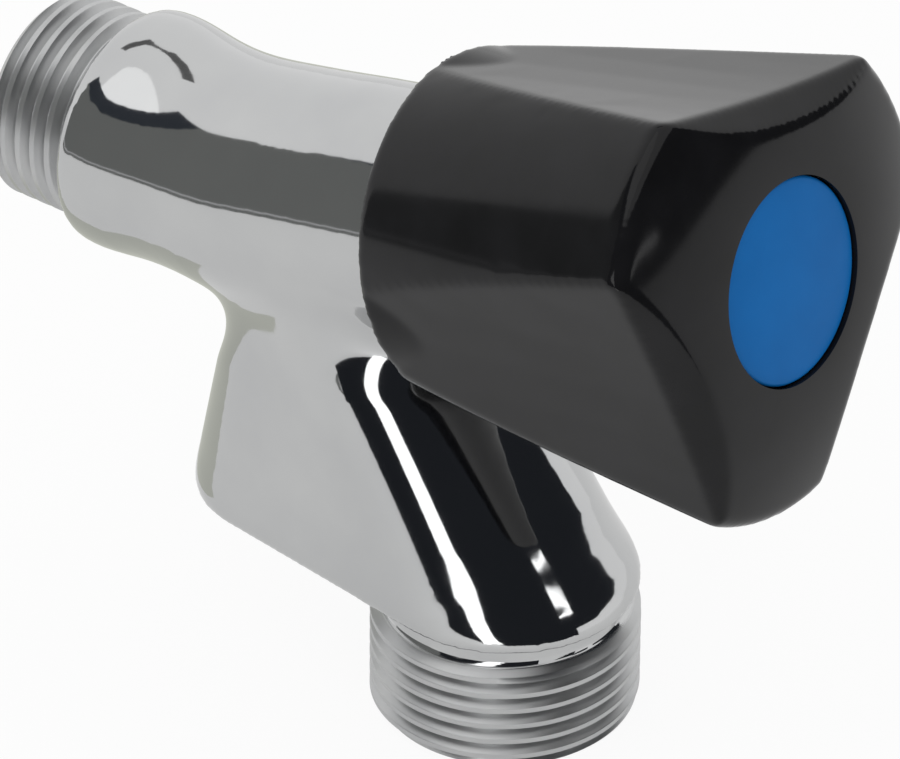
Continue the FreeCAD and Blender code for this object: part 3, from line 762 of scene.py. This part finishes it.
fibre = moulded_finish("red_fibre", dark=(0.17, 0.030, 0.024), light=(0.30, 0.065, 0.05),
                       low=0.7, high=0.9, grain=0.6, gloss=0.3)

# Pieces that are seen
make_casting(plated)
make_threaded_spigot("inlet_spigot", Vector((0, 0, 0)), INLET_OUTWARD, -INLET_MOUTH, INLET_RADIUS, INLET_BORE,
                     INLET_RUNOUT, THREAD_DEPTH, inlet_plating)
make_threaded_spigot("outlet_spigot", Vector((OUTLET_X, 0, FOOT)), OUTLET_OUTWARD, FOOT - OUTLET_MOUTH,
                     OUTLET_RADIUS, OUTLET_BORE, OUTLET_RELIEF_WIDTH, OUTLET_RELIEF_DEPTH, outlet_plating)
make_knob(black_moulding)
make_disc(blue_moulding)

# Headwork inside, as the CAD made it
for node in ("bonnet", "spindle", "plunger", "washer_nut"):
    dress_node(node, brass)
for node in ("knob_screw", "spindle_clip"):
    dress_node(node, zinc)
for node in ("spindle_oring_lower", "spindle_oring_upper", "plunger_oring", "seat_washer"):
    dress_node(node, rubber)
dress_node("thrust_washer", white_washer)
dress_node("bonnet_gasket", fibre)

# Studio, with the lamps and cards that the chrome and the black knob mirror
make_floor()
make_world()
add_softbox("high_softbox", CENTRE, azimuth=-20, elevation=62, distance=0.7,
            width=0.5, height=0.5, brightness=0.35)
add_softbox("front_strip", SPOUT_FRONT, azimuth=22, elevation=11, distance=STRIP_DISTANCE,
            width=0.036, height=0.12, brightness=2.2, roll=28)
add_softbox("side_window", SPOUT_TOE, azimuth=96, elevation=26.5, distance=STRIP_DISTANCE,
            width=0.026, height=0.004, brightness=2.4)
curved_screen("grey_screen", SCREEN_LEFT, SCREEN_RIGHT, SCREEN_DISTANCE, low=-30, top=36,
              tone=(0.185, 0.19, 0.185))
curved_screen("upper_screen", SCREEN_LEFT, SCREEN_RIGHT, SCREEN_DISTANCE, low=36, top=47,
              tone=(0.040, 0.046, 0.056))
curved_screen("screen_gap", SCREEN_LEFT, SCREEN_RIGHT, SCREEN_DISTANCE - 5 * MM, low=-4.6, top=-3.4,
              tone=(0.50, 0.50, 0.51))
curved_screen("black_screen", first=-16, last=95, distance=0.18, low=-30, top=SCREEN_TOP, tone=SCREEN_BLACK)
curved_screen("right_screen", first=94, last=147, distance=0.22, low=4, top=SCREEN_TOP, tone=SCREEN_BLACK)
curved_screen("roof_card", first=-140, last=-108, distance=0.6, low=51, top=57, tone=(0.14, 0.14, 0.14))
# Painted shadow: a darker glowing sheet behind and beside the inlet stands in for the valve's shadow on the floor,
# where the chrome mirrors the floor
floor_shadow_sheet("painted_floor_shadow", left=-155 * MM, right=-8 * MM, front=-20 * MM, back=145 * MM,
           tone=(0.62, 0.63, 0.57))
make_camera()
bpy.context.scene.view_settings.view_transform = "Standard"
